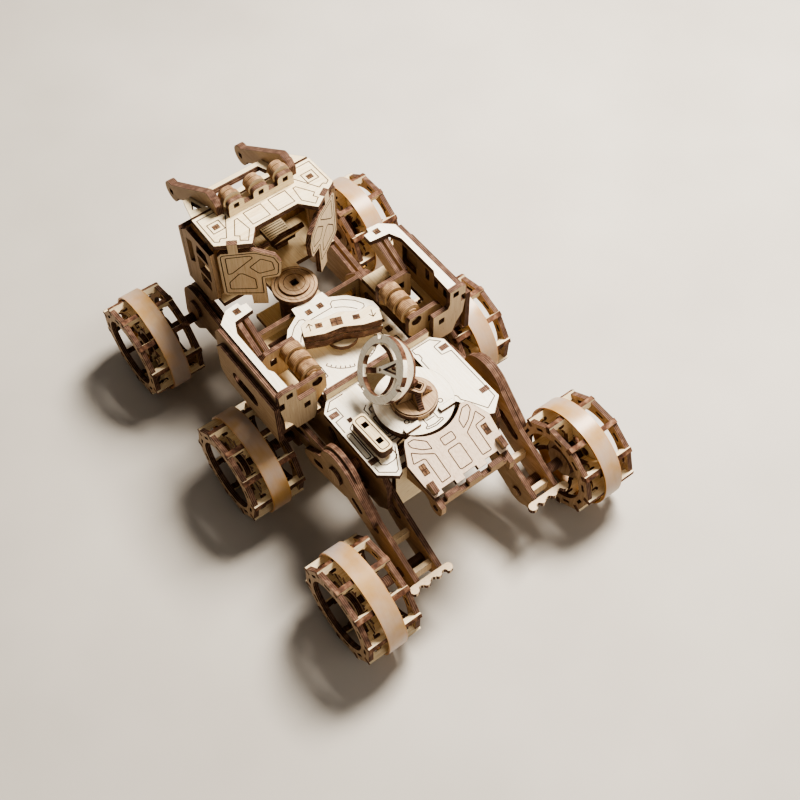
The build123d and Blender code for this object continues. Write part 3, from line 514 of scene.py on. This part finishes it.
# a run of points becomes the outline of a narrow strip along it
def strip(points, wide):
    left = []
    right = []
    last = len(points) - 1
    sharpest = 0.4  # keeps a tight corner from growing a spike
    for k, point in enumerate(points):
        here = Vector(point)
        before = Vector(points[max(k - 1, 0)])
        after = Vector(points[min(k + 1, last)])
        first = (here - before).normalized() if k > 0 else (after - here).normalized()
        second = (after - here).normalized() if k < last else first
        along = (first + second).normalized()
        side = Vector((-along.y, along.x)) * wide / 2 / max(along.dot(first), sharpest)
        left.append(tuple(here + side))
        right.append(tuple(here - side))
    return right + left[::-1]


def outlineFace(points, place):
    turned = sum(a[0] * b[1] - b[0] * a[1] for a, b in zip(points, points[1:] + points[:1]))
    if turned < 0:
        points = points[::-1]
    bpy.ops.object.select_all(action="DESELECT")
    bpy.ops.mesh.primitive_circle_add(vertices=len(points), radius=mm, fill_type="NGON")
    face = bpy.context.object
    for vert, (u, v) in zip(face.data.vertices, points):
        vert.co = place @ Vector((u * mm, v * mm, 0))
    return face


# joins flat faces and gives them their height above the sheet
def raiseLines(name, made, body):
    bpy.ops.object.select_all(action="DESELECT")
    for line in made:
        line.select_set(True)
    bpy.context.view_layer.objects.active = made[0]
    if len(made) > 1:
        bpy.ops.object.join()
    piece = bpy.context.object
    piece.name = name
    bpy.ops.object.modifier_add(type="SOLIDIFY")
    piece.modifiers["Solidify"].thickness = engraving["height"] * mm
    piece.modifiers["Solidify"].offset = 1.0
    bpy.ops.object.modifier_apply(modifier="Solidify")
    bpy.ops.object.transform_apply(location=True, rotation=True, scale=True)
    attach(piece, body)
    return piece


# rings are closed outlines, each with the radius of its corners, and runs are open lines
def engrave(name, place, rings=(), runs=(), body="chassis", wide=engraving["width"]):
    made = []
    for points, corner in rings:
        line = outlineFace(points, place)
        bpy.ops.object.mode_set(mode="EDIT")
        bpy.ops.mesh.select_all(action="SELECT")
        if corner:
            bpy.ops.mesh.bevel(offset=corner * mm, segments=3, affect="VERTICES", clamp_overlap=True)
            bpy.ops.mesh.select_all(action="SELECT")
        bpy.ops.mesh.inset(thickness=wide * mm)
        bpy.ops.mesh.delete(type="FACE")
        bpy.ops.object.mode_set(mode="OBJECT")
        made.append(line)
    for points in runs:
        made.append(outlineFace(strip(points, wide), place))
    for line in made:
        line.data.materials.append(char)
    return raiseLines(name, made, body)


def mirrored(piece, name, body="chassis"):
    bpy.ops.object.select_all(action="DESELECT")
    piece.select_set(True)
    bpy.context.view_layer.objects.active = piece
    bpy.ops.object.duplicate()
    twin = bpy.context.object
    twin.name = name
    for vert in twin.data.vertices:
        vert.co.y = -vert.co.y
    bpy.ops.object.mode_set(mode="EDIT")
    bpy.ops.mesh.select_all(action="SELECT")
    bpy.ops.mesh.flip_normals()
    bpy.ops.object.mode_set(mode="OBJECT")
    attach(twin, body)
    return twin


# ends of tabs that come up through a sheet: four cut corners with a cross between them, on a dark plate
# that stands for the charred walls of the hole and for painted shade in the gaps round the tab
tabMark = {"gap": 0.2, "drop": 0.02}


def tabEnds(name, place, holes, body="chassis"):
    made = []
    for x, y, sizeX, sizeY in holes:
        quarterX = sizeX / 4
        quarterY = sizeY / 4
        for k in (-1, 1):
            for j in (-1, 1):
                corner = around(x + k * quarterX, y + j * quarterY,
                                quarterX - tabMark["gap"], quarterY - tabMark["gap"])
                cell = outlineFace(corner, place)
                cell.data.materials.append(tabEdge)
                made.append(cell)
        # dark plate in the hole: char of its walls and painted shade in the gaps
        ground = outlineFace(around(x, y, sizeX / 2, sizeY / 2), place)
        for vert in ground.data.vertices:
            vert.co -= place.to_3x3().col[2] * tabMark["drop"] * mm
        ground.data.materials.append(char)
        made.append(ground)
    return raiseLines(name, made, body)


# cab roof: half of the lines, the other half is their mirror image
roof = {"top": 122.4,
        "border": [(86.4, 21.6), (91.9, 23.6), (91.9, 37.1), (73.0, 37.4), (71.4, 34.9), (73.0, 33.4),
                   (71.5, 30.2)],
        "brace": [(80.4, 18.0), (80.3, 20.2), (70.4, 26.4), (68.6, 24.2), (66.0, 25.8), (62.9, 21.8),
                  (69.8, 16.7)],
        "panel": block(71.2, 2.2, 81.6, 13.9), "borderCorner": 0.3,
        "tab": (81.9, 30.7), "tabFrame": 3.9, "tabSize": (3.0, 3.6)}
tabX, tabY = roof["tab"]
tabFrame = around(tabX, tabY, roof["tabFrame"], roof["tabFrame"])
engrave("roofLines", onTop(roof["top"]),
        bothSides([(roof["border"], roof["borderCorner"]), (roof["brace"], 0), (roof["panel"], 0),
                   (tabFrame, 0)]))
tabEnds("roofTabs", onTop(roof["top"]), [(tabX, way * tabY, *roof["tabSize"]) for way in (1, -1)])

# slanted rear panels: across from the roof's outer corner, and height
panel = {"place": (71.0, 39.0, 0), "along": (-0.523, -0.852, 0), "borderCorner": 0.8, "cellCorner": 1.0,
         "border": [(1.9, 112.9), (3.2, 114.3), (21.0, 114.6), (30.8, 109.8), (33.1, 104.2), (32.3, 96.8),
                    (31.4, 95.0), (23.0, 94.0), (22.8, 79.9), (17.0, 80.6), (3.0, 82.3), (1.9, 83.2)],
         "cells": [[(4.4, 112.0), (18.2, 112.6), (19.8, 110.7), (7.0, 98.6), (4.4, 98.2)],
                   [(23.6, 109.6), (29.8, 106.2), (30.6, 99.4), (21.6, 97.0), (16.6, 103.0)],
                   [(4.4, 91.6), (10.8, 98.6), (12.8, 98.4), (19.3, 92.9), (19.5, 84.2), (4.4, 85.6)]]}
panelRings = [(panel["border"], panel["borderCorner"])]
panelRings += [(cell, panel["cellCorner"]) for cell in panel["cells"]]
leftPanel = engrave("cabPanelLinesLeft", setPlane(panel["place"], panel["along"], up), panelRings)
mirrored(leftPanel, "cabPanelLinesRight")

# seats: stripes across the right one, two plain frames on the left one
seat = {"top": 80.5, "line": 0.4, "stripes": (89.8, 91.6, 93.4, 95.2, 97.0, 98.8), "reach": (-5.0, -18.0),
        "frames": [(block(89.6, 5.2, 98.8, 17.8), 1.0), (block(91.6, 7.4, 96.8, 15.6), 0.8)]}
seatStripes = [[(x, y) for y in seat["reach"]] for x in seat["stripes"]]
engrave("seatLinesRight", onTop(seat["top"]), runs=seatStripes, wide=seat["line"])
engrave("seatLinesLeft", onTop(seat["top"]), seat["frames"], wide=seat["line"])

# turntable behind the cab: a ring on each of its two discs
turntable = {"x": 59.0, "line": 0.3, "low": {"top": 73.3, "r": 11.6, "count": 60},
             "high": {"top": 74.8, "r": 6.4, "count": 45}}
for name, disc in (("turntableRingsLow", turntable["low"]), ("turntableRingsHigh", turntable["high"])):
    engrave(name, onTop(disc["top"]), [(circle(turntable["x"], 0, disc["r"], disc["count"]), 0)],
            wide=turntable["line"])

# dial plate: a lobed border, arcs round the key, the marks of a scale, and tabs at its front and sides
dial = {"top": 70.0, "keyX": 12.5,
        "border": [(34.4, 0), (34.4, 8.6), (37.0, 9.2), (38.1, 11.4), (35.6, 16.4), (30.6, 21.8),
                   (25.6, 24.4), (23.8, 23.6), (23.0, 20.8), (20.6, 21.6), (13.0, 21.9), (4.0, 20.2),
                   (-3.1, 20.6), (-3.6, 25.6), (-14.0, 26.2)],
        "arcs": ((22.9, -24, -58), (22.9, 24, 58), (19.7, 118, 166), (19.7, -118, -166)), "arcSteps": 14,
        "marks": range(118, 167, 8), "markR": (18.0, 19.7),
        "frontTabs": [(39.5, 3.9, 3.4, 3.4), (39.5, -3.9, 3.4, 3.4)],
        "sideTabX": (18.5, 10.3, 2.7), "sideTabY": 25.0, "sideTabSize": (3.8, 3.0)}
dialRuns = [flipped(dial["border"])[:-1] + dial["border"]]
for r, start, stop in dial["arcs"]:
    dialRuns.append(arc(dial["keyX"], 0, r, start, stop, dial["arcSteps"]))
for angle in dial["marks"]:
    for way in (1, -1):
        markX, markY = level(way * angle)[:2]
        dialRuns.append([(dial["keyX"] + r * markX, r * markY) for r in dial["markR"]])
engrave("dialLines", onTop(dial["top"]), runs=dialRuns)
tabEnds("dialTabs", onTop(dial["top"]), dial["frontTabs"])
sideTabs = [(x, way * dial["sideTabY"], *dial["sideTabSize"]) for x in dial["sideTabX"] for way in (1, -1)]
tabEnds("dialSideTabs", onTop(dial["top"]), sideTabs)

# winding key: plain arrows that show which way it turns, and three tabs
key = {"x": 12.0, "turn": -21.0, "top": 88.0, "arrowY": 17.6,
       "arrow": [[(0, -2.6), (0, 2.2)], [(-1.9, 0.4), (0, 2.4), (1.9, 0.4)]],
       "tabs": [(0, 12.5, 3.4, 4.0), (0, -8.6, 3.4, 4.0), (0, 2.6, 5.6, 6.6)]}
keyPlace = onTop(key["top"], x=key["x"], turn=key["turn"])
keyRuns = [[(way * v, way * (key["arrowY"] - u)) for u, v in run]
           for way in (1, -1) for run in key["arrow"]]
engrave("keyArrows", keyPlace, runs=keyRuns, body="winding_key")
tabEnds("keyTabs", keyPlace, key["tabs"], "winding_key")

# tail plate: along is measured back from its front edge, down the slope
tail = {"front": (-71.0, 0, 90.5), "along": (cos(tailSlope), 0, sin(tailSlope)),
        "middle": [(block(-14.1, -4.1, -9.2, 4.1), 1.1), (block(-28.8, -4.2, -16.4, 4.2), 1.2)],
        "shoulder": [(-2.2, 15.8), (-6.8, 10.2), (-12.0, 10.0), (-9.6, 15.1), (-5.4, 19.6), (-2.2, 19.8)],
        "flank": [(-7.2, 21.0), (-10.4, 17.0), (-14.4, 10.2), (-28.8, 10.2), (-29.0, 16.4), (-14.0, 16.6),
                  (-13.4, 23.6)],
        "sideCorner": 0.8, "tabs": [(-18.4, 20.2, 5.8, 3.4), (-18.4, -20.2, 5.8, 3.4)]}
tailPlace = setPlane(tail["front"], tail["along"], aside)
tailSides = bothSides([(tail[line], tail["sideCorner"]) for line in ("shoulder", "flank")])
engrave("tailLines", tailPlace, tail["middle"] + tailSides)
tabEnds("tailTabs", tailPlace, tail["tabs"])

# turret disc: a stepped bracket behind the antenna and two small rings
turret = {"top": 87.0,
          "bracket": [(-64.6, 3.7), (-69.5, 3.7), (-70.3, 5.7), (-71.8, 5.4), (-72.7, 0), (-71.8, -5.4),
                      (-70.3, -5.7), (-69.5, -3.7), (-64.6, -3.7)],
          "inner": [[(-67.2, 2.7), (-67.2, -2.7)], [(-70.6, 4.2), (-71.2, 0), (-70.6, -4.2)]],
          "bracketCorner": 0.5, "ringX": -61.5, "ringY": 11.0, "ringR": 1.5, "ringCount": 24}
turretRings = [(circle(turret["ringX"], way * turret["ringY"], turret["ringR"], turret["ringCount"]), 0)
               for way in (1, -1)]
turretRings.append((turret["bracket"], turret["bracketCorner"]))
engrave("turretLines", onTop(turret["top"]), turretRings, turret["inner"])

# decks: a stepped border on the right one; on the left one a border, chevrons, two blank frames, and a
# frame round the lever with its slot
deck = {"top": 81.0, "rightCorner": 0.4, "leverCorner": 0.6,
        "right": [(-23.4, -21.0), (-27.1, -21.0), (-28.2, -22.4), (-31.0, -22.4), (-32.0, -21.0),
                  (-60.4, -21.0), (-62.0, -22.2), (-64.6, -22.2), (-68.0, -24.6), (-77.8, -30.4),
                  (-73.8, -38.4), (-36.2, -38.6), (-35.4, -32.8), (-29.0, -32.6), (-28.4, -38.2),
                  (-23.4, -33.4)],
        "blankFrames": [(block(-58.4, 16.8, -45.4, 21.4), 0.9), (block(-64.4, 35.6, -46.0, 38.9), 0.8)],
        "leverFrame": [(-41.9, 28.0), (-43.8, 24.4), (-71.4, 24.4), (-73.2, 27.4), (-73.2, 32.6),
                       (-71.4, 35.0), (-43.8, 35.0), (-41.9, 32.0)],
        "chevrons": [[(-36.9, 19.3), (-38.7, 21.9), (-43.0, 21.7)],
                     [(-39.2, 17.2), (-39.9, 19.6), (-43.0, 19.8)],
                     [(-59.2, 16.2), (-60.4, 19.2), (-60.2, 22.2)],
                     [(-61.6, 16.2), (-62.8, 19.2), (-62.6, 22.2)]],
        "leftBorder": [[(-23.5, 14.9), (-40.6, 14.9), (-62.8, 14.6)],
                       [(-23.8, 25.0), (-23.8, 33.4), (-28.2, 38.0), (-28.8, 33.0), (-35.6, 33.0),
                        (-36.2, 38.2), (-44.4, 38.2)],
                       [(-70.4, 38.3), (-74.0, 38.3), (-79.4, 31.2), (-78.6, 29.4), (-66.6, 22.6)]],
        "slot": [(-40.9, 31.5), (-38.1, 31.5)], "slotWidth": 2.8}
engrave("rightDeckLines", onTop(deck["top"]), [(deck["right"], deck["rightCorner"])])
engrave("leftDeckLines", onTop(deck["top"]),
        deck["blankFrames"] + [(deck["leverFrame"], deck["leverCorner"])],
        deck["chevrons"] + deck["leftBorder"])
# the slot is not cut: a dark square of char lies on the deck, painted shade where the opening would be
engrave("leftDeckSlot", onTop(deck["top"]), runs=[deck["slot"]], wide=deck["slotWidth"])

# lever: one line just inside its rim
lever = {"top": 90.0, "x": -57.5, "y": 30.0, "turn": 2, "half": (11.7, 3.0), "corner": 1.8}
engrave("leverLine", onTop(lever["top"], lever["x"], lever["y"], lever["turn"]),
        [(around(0, 0, *lever["half"]), lever["corner"])])

# antenna: a line round its head plate
antenna = {"top": 101.6, "x": -53.0, "turn": 30, "half": (5.2, 2.6), "corner": 1.3}
engrave("antennaHeadLine", onTop(antenna["top"], x=antenna["x"], turn=antenna["turn"]),
        [(around(0, 0, *antenna["half"]), antenna["corner"])], body="antenna")

# pod tops: the tab of each bracket
pod = {"top": 102.0, "tabs": [(41.5, 46.4, 3.6, 3.6), (41.5, -46.4, 3.6, 3.6)]}
tabEnds("podTopTabs", onTop(pod["top"]), pod["tabs"])
print("engraved lines and tab ends on")
